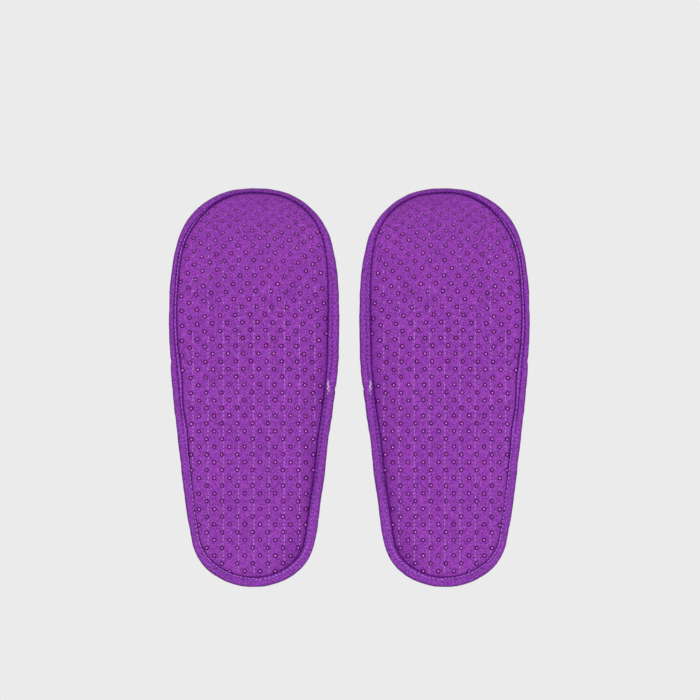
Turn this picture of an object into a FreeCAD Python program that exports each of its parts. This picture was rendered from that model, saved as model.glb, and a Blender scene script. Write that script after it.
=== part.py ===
import FreeCAD, Part
import math
import os

# A pair of closed-toe spa slippers standing on the floor, in millimetres.
# +Z is up and z = 0 is the floor. The toes point to -Y and the heels to +Y.
# x = 0 is the plane between the two slippers. The wearer's right slipper is on the -X side.
# Each piece is drawn once for the right slipper, about that slipper's own centre line,
# then placed for the right slipper and mirrored for the left one.

Vector = FreeCAD.Vector

# Overall size of one slipper
LENGTH = 280.0
WIDTH = 120.0
PAIR_SPACING = 134.0  # from one slipper's centre line to the other's

# Plan outline, built of tangent arcs and one straight taper on each side
TOE_Y = -LENGTH / 2
HEEL_Y = LENGTH / 2
TOE_TIP_RADIUS = 97.5
TOE_CORNER_RADIUS = 51.7
FRONT_SIDE_RADIUS = 185.5
WIDEST_Y = TOE_Y + 83.4
REAR_SIDE_RADIUS = 657.5
TAPER_ANGLE = math.radians(7.4)
HEEL_CORNER_RADIUS = 35.0
HEEL_TIP_RADIUS = 49.6

# The sole curls up at the toe on a round arc whose centre is above the sole
CURL_RADIUS = 105.0
CURL_Y = TOE_Y + 66.0
CURL_END_ANGLE = math.radians(50.0)

# Heights of the sole's layers where it lies flat
OUTSOLE_BOTTOM = 0.8
OUTSOLE_TOP = 2.0
FOAM_TOP = 7.0
PADDING_TOP = 9.0
INSOLE_TOP = 10.2
BINDING_TOP = 11.0

# Edge binding, a folded tape with a flange under the sole and one on top of it
BINDING_WALL = 1.0
FLANGE_INSET = 5.4
FLANGE_SHIFT_X = -0.8  # the flange is wider on the inner side of the foot
FLANGE_SHIFT_Y = -1.8  # and wider at the heel than at the toe
SEAM_GROOVE_INSET = 3.6
SEAM_GROOVE_WIDTH = 0.9
SEAM_GROOVE_DEPTH = 0.35
THREAD_THICKNESS = 0.3

# The sole folds here, just behind the upper
FOLD_Y = 14.0

# Grip dots and quilting lines on the outsole
DOT_RADIUS = 1.4
DOT_HEIGHT = 0.7
DOT_PITCH_X = 10.7
DOT_ROW_PITCH = 5.46
FIRST_LINE_ROW_Y = TOE_Y + 143.5  # a row whose dots sit on the quilting lines
DOT_EDGE_CLEARANCE = 2.0
QUILT_THREAD_WIDTH = 0.6
QUILT_THREAD_HEIGHT = 0.25
QUILT_LINES_EACH_SIDE = 5

# Upper: three layers of fabric, wadding and lining, from the outside in
VAMP_INSET = 4.4
VAMP_FABRIC = 1.2
VAMP_WADDING = 2.0
VAMP_LINING = 1.0
CROWN_HEIGHT = 61.5
CROWN_LENGTH = 112.0  # from the toe to where the crown line levels out
CROWN_EXPONENT = 2.2
ARCH_EXPONENT = 2.4
ARCH_POINTS = 15
VAMP_STATIONS = (0.12, 0.2, 0.3, 0.41, 0.53, 0.66, 0.8, 0.93, 1.06)
VAMP_STATION_LENGTH = 150.0
VAMP_SKIRT = 5.0  # how far the raw upper reaches below the sole's top before it is trimmed

# The upper's rear edge in plan, and the tape and thread that finish it
THROAT_OUTER_Y = TOE_Y + 121.0
THROAT_MIDDLE_Y = TOE_Y + 106.0
THROAT_INNER_Y = TOE_Y + 141.0
THROAT_TAPE = 0.8
THROAT_TAPE_WIDTH = 7.0
THROAT_THREAD_SETBACK = 5.4
THROAT_THREAD_WIDTH = 0.7

# Loose thread end where the binding's two ends meet
TAIL_RADIUS = 0.27
TAIL_X = 49.75
TAIL_SWING = 0.6
TAIL_STEP_Y = 2.0
TAIL_START_Y = TOE_Y + 136.0
TAIL_Z = 0.42

FAR = 90.0  # half the size of the blocks used for cutting


def circle_crossings(centre_a, radius_a, centre_b, radius_b):
    """The two points where two circles in plan cross."""
    across = centre_b.sub(centre_a)
    gap = across.Length
    along = (radius_a**2 - radius_b**2 + gap**2) / (2 * gap)
    rise = math.sqrt(radius_a**2 - along**2)
    unit = Vector(across).normalize()
    side = Vector(-unit.y, unit.x, 0)
    middle = centre_a + unit * along
    return middle + side * rise, middle - side * rise


def outline_circles():
    """The circles of the +X half of the outline and the point where the straight taper starts."""
    tip = Vector(0, TOE_Y + TOE_TIP_RADIUS, 0)
    front = Vector(WIDTH / 2 - FRONT_SIDE_RADIUS, WIDEST_Y, 0)
    rear = Vector(WIDTH / 2 - REAR_SIDE_RADIUS, WIDEST_Y, 0)
    heel = Vector(0, HEEL_Y - HEEL_TIP_RADIUS, 0)
    crossings = circle_crossings(
        tip, TOE_TIP_RADIUS - TOE_CORNER_RADIUS, front, FRONT_SIDE_RADIUS - TOE_CORNER_RADIUS
    )
    corner = min([p for p in crossings if p.x > 0], key=lambda p: p.y)
    normal = Vector(math.cos(TAPER_ANGLE), math.sin(TAPER_ANGLE), 0)
    along = Vector(-math.sin(TAPER_ANGLE), math.cos(TAPER_ANGLE), 0)
    taper_start = rear + normal * REAR_SIDE_RADIUS
    # The heel corner's centre is on a line beside the taper, at a known distance from the heel's centre.
    offset = taper_start - normal * HEEL_CORNER_RADIUS - heel
    reach = HEEL_TIP_RADIUS - HEEL_CORNER_RADIUS
    half = offset.dot(along)
    travel = -half + math.sqrt(half**2 - offset.dot(offset) + reach**2)
    heel_corner = heel + offset + along * travel
    return tip, corner, front, rear, heel_corner, heel, normal


TIP, CORNER, FRONT, REAR, HEEL_CORNER, HEEL, TAPER_NORMAL = outline_circles()


def unit_from(centre, point):
    return point.sub(centre).normalize()


def outline_points(inset):
    """The joints between the arcs of the +X half, from the toe tip to the heel tip."""
    tip_r = TOE_TIP_RADIUS - inset
    front_r = FRONT_SIDE_RADIUS - inset
    return [
        Vector(0, TOE_Y + inset, 0),
        TIP + unit_from(TIP, CORNER) * tip_r,
        FRONT + unit_from(FRONT, CORNER) * front_r,
        Vector(WIDTH / 2 - inset, WIDEST_Y, 0),
        REAR + TAPER_NORMAL * (REAR_SIDE_RADIUS - inset),
        HEEL_CORNER + TAPER_NORMAL * (HEEL_CORNER_RADIUS - inset),
        HEEL + unit_from(HEEL, HEEL_CORNER) * (HEEL_TIP_RADIUS - inset),
        Vector(0, HEEL_Y - inset, 0),
    ]


OUTLINE_ARCS = [
    (TIP, TOE_TIP_RADIUS),
    (CORNER, TOE_CORNER_RADIUS),
    (FRONT, FRONT_SIDE_RADIUS),
    (REAR, REAR_SIDE_RADIUS),
    None,  # the straight taper
    (HEEL_CORNER, HEEL_CORNER_RADIUS),
    (HEEL, HEEL_TIP_RADIUS),
]


def half_width(y, inset):
    """Half the outline's width at y, for an outline moved inwards by inset."""
    points = outline_points(inset)
    if y <= points[0].y or y >= points[-1].y:
        return 0.0
    for arc, start, end in zip(OUTLINE_ARCS, points, points[1:]):
        if y > end.y:
            continue
        if arc is None:
            share = (y - start.y) / (end.y - start.y)
            return start.x + (end.x - start.x) * share
        centre, radius = arc
        return centre.x + math.sqrt(max((radius - inset) ** 2 - (y - centre.y) ** 2, 0.0))
    return 0.0


def half_outline_edges(inset, side):
    """Edges of one half of the outline; side is 1 for +X and -1 for -X."""
    points = outline_points(inset)
    edges = []
    for arc, start, end in zip(OUTLINE_ARCS, points, points[1:]):
        first = Vector(start.x * side, start.y, 0)
        last = Vector(end.x * side, end.y, 0)
        if arc is None:
            edges.append(Part.LineSegment(first, last).toShape())
            continue
        centre, radius = arc
        bisector = unit_from(centre, start) + unit_from(centre, end)
        middle = centre + bisector.normalize() * (radius - inset)
        middle.x = middle.x * side
        edges.append(Part.Arc(first, middle, last).toShape())
    return edges


def prism(inset, shift_x=0.0, shift_y=0.0):
    """A tall block with the slipper's outline, moved inwards by inset."""
    edges = half_outline_edges(inset, 1) + half_outline_edges(inset, -1)
    wire = Part.Wire(Part.__sortEdges__(edges))
    block = Part.Face(wire).extrude(Vector(0, 0, 2 * FAR))
    block.translate(Vector(shift_x, shift_y, -FAR / 2))
    return block


def curl_point(height, angle):
    """A point in the middle plane on the curled toe, at a layer's height and an angle round the curl."""
    radius = CURL_RADIUS - height
    return Vector(0, CURL_Y - radius * math.sin(angle), CURL_RADIUS - radius * math.cos(angle))


def slab(low, high):
    """A wide sheet between two heights, flat at the heel and curled up at the toe."""
    back = HEEL_Y + 10
    half_angle = CURL_END_ANGLE / 2
    edges = [
        Part.LineSegment(Vector(0, back, low), curl_point(low, 0)).toShape(),
        Part.Arc(
            curl_point(low, 0), curl_point(low, half_angle), curl_point(low, CURL_END_ANGLE)
        ).toShape(),
        Part.LineSegment(
            curl_point(low, CURL_END_ANGLE), curl_point(high, CURL_END_ANGLE)
        ).toShape(),
        Part.Arc(
            curl_point(high, CURL_END_ANGLE), curl_point(high, half_angle), curl_point(high, 0)
        ).toShape(),
        Part.LineSegment(curl_point(high, 0), Vector(0, back, high)).toShape(),
        Part.LineSegment(Vector(0, back, high), Vector(0, back, low)).toShape(),
    ]
    sheet = Part.Face(Part.Wire(edges)).extrude(Vector(2 * FAR, 0, 0))
    sheet.translate(Vector(-FAR, 0, 0))
    return sheet


def flange_prism():
    return prism(FLANGE_INSET, FLANGE_SHIFT_X, FLANGE_SHIFT_Y)


def sole_layer(low, high, inset=BINDING_WALL):
    return prism(inset).common(slab(low, high))


def seam_groove():
    """A tall ring over the line of stitches that presses into the lower flange."""
    return prism(SEAM_GROOVE_INSET).cut(prism(SEAM_GROOVE_INSET + SEAM_GROOVE_WIDTH))


def edge_binding():
    """The folded tape: an outer wall, a flange below the sole and a flange above it."""
    ring = prism(0).cut(flange_prism()).common(slab(0, BINDING_TOP))
    inside = prism(BINDING_WALL).common(slab(OUTSOLE_BOTTOM, INSOLE_TOP))
    groove = seam_groove().common(slab(-1, SEAM_GROOVE_DEPTH))
    return ring.cut(inside).cut(groove)


def binding_thread():
    """Lockstitch thread that lies in the lower flange's groove."""
    low = SEAM_GROOVE_DEPTH - THREAD_THICKNESS
    return seam_groove().common(slab(low, SEAM_GROOVE_DEPTH))


def on_outsole(shape, x, distance):
    """Moves a small piece drawn at the origin, +Z into the sole, to a place under the outsole.

    distance runs along the outsole from the start of the toe curl, and is positive towards the toe.
    """
    placed = shape.copy()
    if distance <= 0:
        placed.translate(Vector(x, CURL_Y - distance, OUTSOLE_BOTTOM))
        return placed
    angle = distance / (CURL_RADIUS - OUTSOLE_BOTTOM)
    placed.rotate(Vector(0, 0, 0), Vector(1, 0, 0), -math.degrees(angle))
    spot = curl_point(OUTSOLE_BOTTOM, angle)
    placed.translate(Vector(x, spot.y, spot.z))
    return placed


def plan_y(distance):
    """The y of a point that far along the outsole from the start of the curl."""
    if distance <= 0:
        return CURL_Y - distance
    radius = CURL_RADIUS - OUTSOLE_BOTTOM
    return CURL_Y - radius * math.sin(distance / radius)


def inside_panel(x, y, clearance):
    """Whether a spot is inside the flange's inner edge with the given clearance."""
    return abs(x - FLANGE_SHIFT_X) < half_width(y - FLANGE_SHIFT_Y, FLANGE_INSET + clearance)


def dot_rows():
    """Each row of dots as its distance along the outsole and whether it is on the quilting lines."""
    first = CURL_Y - FIRST_LINE_ROW_Y
    rows = []
    for index in range(-25, 28):
        distance = first + index * DOT_ROW_PITCH
        if HEEL_Y > plan_y(distance) > TOE_Y:
            rows.append((distance, index % 2 == 0))
    return rows


def dot_places():
    places = []
    for distance, on_line in dot_rows():
        start = 0.0 if on_line else DOT_PITCH_X / 2
        for column in range(-6, 7):
            x = start + column * DOT_PITCH_X
            if inside_panel(x, plan_y(distance), DOT_EDGE_CLEARANCE):
                places.append((x, distance))
    return places


def rubber_dot():
    """One low round dot, its flat base at the origin and its crown towards -Z."""
    sphere_radius = (DOT_RADIUS**2 + DOT_HEIGHT**2) / (2 * DOT_HEIGHT)
    ball = Part.makeSphere(sphere_radius, Vector(0, 0, sphere_radius - DOT_HEIGHT))
    below = Part.makeBox(8, 8, 8, Vector(-4, -4, -8))
    return ball.common(below)


def grip_dots():
    dot = rubber_dot()
    return [on_outsole(dot, x, distance) for x, distance in dot_places()]


def quilt_thread():
    """Straight runs of thread along the quilting lines, one between each two dots."""
    runs = []
    rows = [distance for distance, on_line in dot_rows() if on_line]
    length = 2 * DOT_ROW_PITCH - 2 * DOT_RADIUS - 1.0
    run = Part.makeBox(
        QUILT_THREAD_WIDTH,
        length,
        QUILT_THREAD_HEIGHT,
        Vector(-QUILT_THREAD_WIDTH / 2, -length / 2, -QUILT_THREAD_HEIGHT),
    )
    for line in range(-QUILT_LINES_EACH_SIDE, QUILT_LINES_EACH_SIDE + 1):
        x = line * DOT_PITCH_X
        for distance in rows:
            middle = distance + DOT_ROW_PITCH
            near = inside_panel(x, plan_y(middle - length / 2), 1.0)
            far = inside_panel(x, plan_y(middle + length / 2), 1.0)
            crosses_fold = abs(plan_y(middle) - FOLD_Y) < length / 2 + 0.2
            if near and far and not crosses_fold:
                runs.append(on_outsole(run, x, middle))
    return runs


def sole_top(y):
    """Height of the binding's upper face at y."""
    if y >= CURL_Y:
        return BINDING_TOP
    radius = CURL_RADIUS - BINDING_TOP
    return CURL_RADIUS - math.sqrt(radius**2 - (CURL_Y - y) ** 2)


def crown(y, depth):
    """Height over the centre line of the upper's surface that lies depth below its outer face."""
    start = TOE_Y + VAMP_INSET + depth
    foot = sole_top(start)
    share = min((y - start) / CROWN_LENGTH, 1.0)
    return foot + (CROWN_HEIGHT - depth - foot) * math.sqrt(1 - (1 - share) ** CROWN_EXPONENT)


def arch_wire(y, depth):
    """Closed cross-section of the upper at y, for the surface that lies depth below its outer face."""
    width = half_width(y, VAMP_INSET + depth)
    base = sole_top(y) - VAMP_SKIRT
    rise = crown(y, depth) - base
    power = 2 / ARCH_EXPONENT
    points = []
    for step in range(ARCH_POINTS):
        angle = math.pi * step / (ARCH_POINTS - 1)
        across = math.copysign(abs(math.cos(angle)) ** power, math.cos(angle))
        points.append(Vector(width * across, y, base + rise * abs(math.sin(angle)) ** power))
    curve = Part.BSplineCurve()
    curve.interpolate(points)
    closing = Part.LineSegment(points[-1], points[0])
    return Part.Wire([curve.toShape(), closing.toShape()])


def dome(depth):
    """Solid under the upper's surface that lies depth below its outer face."""
    start = TOE_Y + VAMP_INSET + depth
    wires = []
    for station in VAMP_STATIONS:
        wires.append(arch_wire(start + VAMP_STATION_LENGTH * station**2, depth))
    return Part.makeLoft(wires, True, False)


def ahead_of_throat(setback):
    """Block on the toe side of the upper's rear edge; setback moves that edge towards the toe."""
    outer = Vector(-FAR, THROAT_OUTER_Y - setback, -FAR)
    inner = Vector(FAR, THROAT_INNER_Y - setback, -FAR)
    # The edge is a round arc through the two corners above the binding and the middle of the instep.
    left = Vector(-WIDTH / 2, THROAT_OUTER_Y - setback, -FAR)
    middle = Vector(0, THROAT_MIDDLE_Y - setback, -FAR)
    right = Vector(WIDTH / 2, THROAT_INNER_Y - setback, -FAR)
    front_left = Vector(-FAR, TOE_Y - 10, -FAR)
    front_right = Vector(FAR, TOE_Y - 10, -FAR)
    edges = [
        Part.LineSegment(outer, left).toShape(),
        Part.Arc(left, middle, right).toShape(),
        Part.LineSegment(right, inner).toShape(),
        Part.LineSegment(inner, front_right).toShape(),
        Part.LineSegment(front_right, front_left).toShape(),
        Part.LineSegment(front_left, outer).toShape(),
    ]
    return Part.Face(Part.Wire(edges)).extrude(Vector(0, 0, 2 * FAR))


def upper_pieces():
    """The upper's three layers, its rear tape and the tape's thread, all trimmed to stand on the sole."""
    top_flange = prism(0).cut(flange_prism()).common(slab(INSOLE_TOP, BINDING_TOP))
    below = slab(-FAR / 2, INSOLE_TOP).fuse(top_flange)
    body = ahead_of_throat(0)
    depths = [
        -THROAT_TAPE - THREAD_THICKNESS,
        -THROAT_TAPE,
        0.0,
        VAMP_FABRIC,
        VAMP_FABRIC + VAMP_WADDING,
        VAMP_FABRIC + VAMP_WADDING + VAMP_LINING,
        VAMP_FABRIC + VAMP_WADDING + VAMP_LINING + THROAT_TAPE,
    ]
    over_thread, over_tape, outer, wadding, lining, inner, under_tape = [
        dome(depth).cut(below) for depth in depths
    ]
    fabric_layer = outer.cut(wadding).common(body)
    wadding_layer = wadding.cut(lining).common(body)
    lining_layer = lining.cut(inner).common(body)
    tape_zone = ahead_of_throat(-THROAT_TAPE).cut(ahead_of_throat(THROAT_TAPE_WIDTH))
    stack = outer.cut(inner).common(body)
    tape = over_tape.cut(under_tape).common(tape_zone).cut(stack)
    front = ahead_of_throat(THROAT_THREAD_SETBACK - THROAT_THREAD_WIDTH)
    thread_zone = front.cut(ahead_of_throat(THROAT_THREAD_SETBACK))
    thread = over_thread.cut(over_tape).common(thread_zone)
    return {
        "vamp_fabric": fabric_layer,
        "vamp_wadding": wadding_layer,
        "vamp_lining": lining_layer,
        "throat_tape": tape,
        "throat_thread": thread,
    }


def thread_tail():
    """A short loose zigzag end of the binding's thread, lying beside the flange's inner edge."""
    points = []
    for index in range(5):
        swing = TAIL_SWING if index % 2 else -TAIL_SWING
        points.append(Vector(TAIL_X + swing, TAIL_START_Y + index * TAIL_STEP_Y, TAIL_Z))
    tail = Part.makeSphere(TAIL_RADIUS, points[0])
    for start, end in zip(points, points[1:]):
        run = end.sub(start)
        tail = tail.fuse(Part.makeCylinder(TAIL_RADIUS, run.Length, start, run))
        tail = tail.fuse(Part.makeSphere(TAIL_RADIUS, end))
    return tail.removeSplitter()


def cutting_block(low_y, high_y):
    corner = Vector(-FAR, low_y, -FAR)
    return Part.makeBox(2 * FAR, high_y - low_y, 2 * FAR, corner)


def slipper_pieces():
    """Every piece of the right slipper about its own centre line, by name."""
    front = cutting_block(TOE_Y - 20, FOLD_Y)
    heel = cutting_block(FOLD_Y, HEEL_Y + 20)
    layers = {
        "outsole": sole_layer(OUTSOLE_BOTTOM, OUTSOLE_TOP),
        "midsole_foam": sole_layer(OUTSOLE_TOP, FOAM_TOP),
        "insole_padding": sole_layer(FOAM_TOP, PADDING_TOP),
        "insole_cover": sole_layer(PADDING_TOP, INSOLE_TOP),
        "edge_binding": edge_binding(),
        "binding_thread": binding_thread(),
    }
    pieces = {}
    for name, layer in layers.items():
        pieces[name + "_front"] = layer.common(front)
        pieces[name + "_heel"] = layer.common(heel)
    for name, group in (("grip_dots", grip_dots()), ("quilt_thread", quilt_thread())):
        ahead = [piece for piece in group if piece.BoundBox.YMax <= FOLD_Y]
        behind = [piece for piece in group if piece.BoundBox.YMin >= FOLD_Y]
        pieces[name + "_front"] = Part.makeCompound(ahead)
        pieces[name + "_heel"] = Part.makeCompound(behind)
    pieces.update(upper_pieces())
    pieces["thread_tail"] = thread_tail()
    return pieces


def only_solids(shape):
    """The shape's solids: one on its own, several as a compound."""
    solids = shape.Solids
    return solids[0] if len(solids) == 1 else Part.makeCompound(solids)


def main():
    os.makedirs("parts", exist_ok=True)
    for name, shape in slipper_pieces().items():
        right = only_solids(shape)
        left = right.mirror(Vector(0, 0, 0), Vector(1, 0, 0))
        right.translate(Vector(-PAIR_SPACING / 2, 0, 0))
        left.translate(Vector(PAIR_SPACING / 2, 0, 0))
        right.exportStep("parts/right_" + name + ".step")
        left.exportStep("parts/left_" + name + ".step")
        box = right.BoundBox
        print(name, len(right.Solids), right.isValid(), round(right.Volume / 1000, 2), "cm3",
              [round(v, 2) for v in (box.XMin, box.YMin, box.ZMin, box.XMax, box.YMax, box.ZMax)])


main()
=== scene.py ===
import math
import random

import bmesh
import bpy
import numpy as np
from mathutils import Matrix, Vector, noise
from mathutils.kdtree import KDTree


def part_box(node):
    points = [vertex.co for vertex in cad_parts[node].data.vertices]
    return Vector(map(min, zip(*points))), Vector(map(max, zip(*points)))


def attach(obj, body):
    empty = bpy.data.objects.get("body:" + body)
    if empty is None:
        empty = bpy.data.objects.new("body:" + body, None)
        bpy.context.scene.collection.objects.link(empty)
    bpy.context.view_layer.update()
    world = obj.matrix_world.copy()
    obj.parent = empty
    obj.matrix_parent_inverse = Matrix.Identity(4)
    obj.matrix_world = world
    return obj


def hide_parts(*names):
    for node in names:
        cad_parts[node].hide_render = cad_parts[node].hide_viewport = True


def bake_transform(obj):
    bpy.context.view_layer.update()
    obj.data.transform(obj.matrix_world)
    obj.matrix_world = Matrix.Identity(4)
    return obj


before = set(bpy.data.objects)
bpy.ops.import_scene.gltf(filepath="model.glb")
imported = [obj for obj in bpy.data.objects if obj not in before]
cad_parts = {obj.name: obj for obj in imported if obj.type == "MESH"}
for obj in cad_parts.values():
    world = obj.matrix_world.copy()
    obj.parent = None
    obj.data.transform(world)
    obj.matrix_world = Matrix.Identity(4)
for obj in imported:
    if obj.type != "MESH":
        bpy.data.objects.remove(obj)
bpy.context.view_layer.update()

# Sizes are in millimetres and become metres when a piece is placed. Each piece is drawn for the
# wearer's right slipper about its own centre line, with the toe to -Y and the inner side to +X,
# then moved to that slipper's place and mirrored for the left one.
MM = 0.001
SPACING = (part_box("left_outsole_front")[0].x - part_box("right_outsole_front")[0].x) / MM

# Plan outline: tangent arcs and one straight taper on each side
LENGTH = 280.0
WIDTH = 120.0
TOE_Y = -LENGTH / 2
HEEL_Y = LENGTH / 2
TOE_TIP_RADIUS = 97.5
TOE_CORNER_RADIUS = 51.7
FRONT_SIDE_RADIUS = 185.5
WIDEST_Y = TOE_Y + 83.4
REAR_SIDE_RADIUS = 657.5
TAPER_ANGLE = math.radians(7.4)
HEEL_CORNER_RADIUS = 35.0
HEEL_TIP_RADIUS = 49.6

# The sole's toe curl and the heights of its layers where it lies flat
CURL_RADIUS = 105.0
CURL_Y = TOE_Y + 66.0
OUTSOLE_BOTTOM = 0.75
OUTSOLE_TOP = 2.0
FOAM_TOP = 7.0
PADDING_TOP = 9.0
INSOLE_TOP = 10.2
BINDING_TOP = 11.0

# Edge binding. Each table gives a value at distances from the toe, for the slipper's outer or inner
# side: the inset of the lower flange's lip, the inset of its sewn seam, how deep the seam sinks (a
# share of SEAM_SINK), and how far the edge itself is pulled in where the binding is pinched.
LIP_OUTER = ((0, 3.0), (5, 4.5), (12, 5.4), (22, 6.3), (45, 5.4), (70, 6.1), (92, 5.7), (113, 6.2),
             (123, 7.0), (134, 7.8), (155, 6.5), (171, 7.4), (190, 6.2), (230, 5.2), (257, 6.2),
             (280, 6.6))
LIP_INNER = ((0, 3.0), (12, 3.4), (30, 4.8), (50, 5.9), (70, 7.5), (100, 7.8), (125, 7.2), (145, 7.6),
             (175, 8.4), (205, 7.8), (250, 8.4), (265, 7.2), (280, 6.6))
SEAM_OUTER = ((0, 2.2), (5, 3.5), (12, 4.3), (20, 4.6), (30, 4.25), (45, 3.4), (70, 4.2), (100, 3.5),
              (121, 4.5), (141, 4.8), (170, 4.7), (280, 4.9))
SEAM_INNER = ((0, 2.2), (12, 2.5), (30, 3.4), (50, 4.1), (70, 4.8), (85, 5.0), (125, 4.6), (145, 5.9),
              (200, 6.2), (240, 5.7), (260, 5.5), (280, 4.9))
SEAM_DEPTH_OUTER = ((0, 0.3), (6, 0.9), (72, 1.0), (160, 0.8), (175, 0.25), (280, 0.3))
SEAM_DEPTH_INNER = ((0, 0.3), (40, 0.35), (60, 0.8), (195, 1.0), (235, 0.6), (280, 0.3))
EDGE_OUTER = ((0, -0.9), (20, -0.4), (40, 0.3), (80, 0.4), (100, 0.0), (119, 0.0), (122, 0.6),
              (125, 0.0), (160, 0.1), (200, -0.5), (230, -0.7), (247, 0.5), (268, -0.5), (280, -0.6))
EDGE_INNER = ((0, -0.9), (37, -0.1), (80, 0.1), (125, -0.6), (139, -0.1), (141, 0.8), (143, 0.2),
              (175, 1.1), (200, 0.5), (240, 0.8), (250, 1.3), (270, -0.4), (280, -0.6))
EDGE_FADE = 6.5  # the inset at which the edge's pinches are no longer felt
SEAM_WIDTH = 0.42
SEAM_SINK = 0.55
UPPER_SEAM_INSET = 3.4
ROLL_WIDTH = 2.3
ROLL_EXPONENT = 2.5
STITCH_PITCH = 3.1
STITCH_LENGTH = 2.3
BINDING_WALL = 0.9
UPPER_END_OUTER = 121.0  # how far behind the toe the upper ends on each side
UPPER_END_INNER = 141.0

# Grip dots and quilting
DOT_RADIUS = 1.42
DOT_MARGIN = 0.7  # a dot whose centre is nearer the lip than this is hidden under the binding
DOT_PITCH_X = 10.7
DOT_ROW_PITCH = 5.46
FIRST_LINE_ROW_Y = TOE_Y + 143.5
DOT_CROWN = 0.12
DOT_CLEARANCE = 3.0  # nothing is printed or quilted nearer the outline than this
# The printed rows drift sideways, bow and crowd together on the stretched toe, by distance from it.
DOT_DRIFT = ((0, -7.5), (24, -6.9), (45, -5.6), (89, -2.8), (117, -2.1), (155, -1.1), (280, -0.9))
DOT_BOW = ((0, 8.0), (30, 6.9), (50, 4.6), (90, 2.8), (125, 1.2), (170, 0.5), (280, 0.3))
PRINT_FADE = (10.0, 75.0)  # nearer the toe than this the dots are faint
DOT_BOW_REACH = 50.0  # the sideways distance at which a row has bowed back that far
DOT_CROWDING = ((0, 6.1), (25, 25.8), (45, 45.0), (280, 280.0))
DOT_NARROWING = ((45, 0.965), (110, 1.0))
QUILT_LINES_EACH_SIDE = 5
QUILT_PITCH = DOT_ROW_PITCH / 2
QUILT_STITCH_LENGTH = 1.9
QUILT_STITCH_RADIUS = 0.34
# How hard the quilting pulls, and the share of its stitches that show, by distance from the toe
QUILT_PULL = ((10, 0.1), (60, 0.35), (150, 0.8), (280, 1.0))
QUILT_SHOWN = ((25, 0.0), (60, 0.35), (110, 0.9), (150, 1.0))

# Upper
VAMP_INSET = 4.4
CROWN_HEIGHT = 61.5
CROWN_LENGTH = 112.0
CROWN_EXPONENT = 2.2
ARCH_POWER = 2 / 2.4
VAMP_SKIRT = 5.0
FABRIC_DEPTHS = (0.0, 1.1)
WADDING_DEPTHS = (1.2, 3.1)
LINING_DEPTHS = (3.2, 4.2)
THROAT_POINTS = ((-WIDTH / 2, TOE_Y + UPPER_END_OUTER), (0.0, TOE_Y + 106.0),
                 (WIDTH / 2, TOE_Y + UPPER_END_INNER))
THROAT_SEAM_SETBACK = 5.4
UPPER_ROWS = 97
UPPER_COLUMNS = 61
MOST_SWELL = 3.5  # how far a point of the upper may move in the simulation

# Unevenness, as (height, lump size, seed) terms
OUTSOLE_LUMPS = ((0.10, 11.0, 1.5), (0.05, 4.0, 8.5), (0.03, 1.6, 3.5))
INSOLE_NAP = ((0.10, 9.0, 2.5), (0.06, 2.4, 6.5))
BINDING_SWELL = ((0.28, 9.0, 4.5), (0.14, 3.6, 9.5))

rng = random.Random(7)


# ---------------------------------------------------------------- small helpers

def unit(vector):
    return vector / np.linalg.norm(vector)


def by_distance(distance, pairs):
    """The value at a distance from the toe, from a table of pairs."""
    return np.interp(distance, *zip(*pairs))


def ease(value, low, high):
    """0 below low, 1 above high and smooth between."""
    share = np.clip((value - low) / (high - low), 0, 1)
    return share * share * (3 - 2 * share)


def bell(offset, width):
    """1 at no offset, and falling smoothly towards 0 beyond a width."""
    return np.exp(-((offset / width) ** 2))


def round_over(share):
    """Drop of a quarter-round edge, from 0 where it starts to 1 where it ends."""
    return 1 - np.sqrt(1 - share**2)


def fuzz(x, y, size, seed):
    """Smooth noise from -1 to 1 with lumps about that many millimetres across."""
    shape = np.shape(x)
    flat = zip(np.ravel(x) / size, np.ravel(y) / size)
    return np.array([noise.noise((a, b, seed)) for a, b in flat]).reshape(shape)


def lumps(x, y, terms):
    return sum(height * fuzz(x, y, size, seed) for height, size, seed in terms)


# ---------------------------------------------------------------- outline


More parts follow.
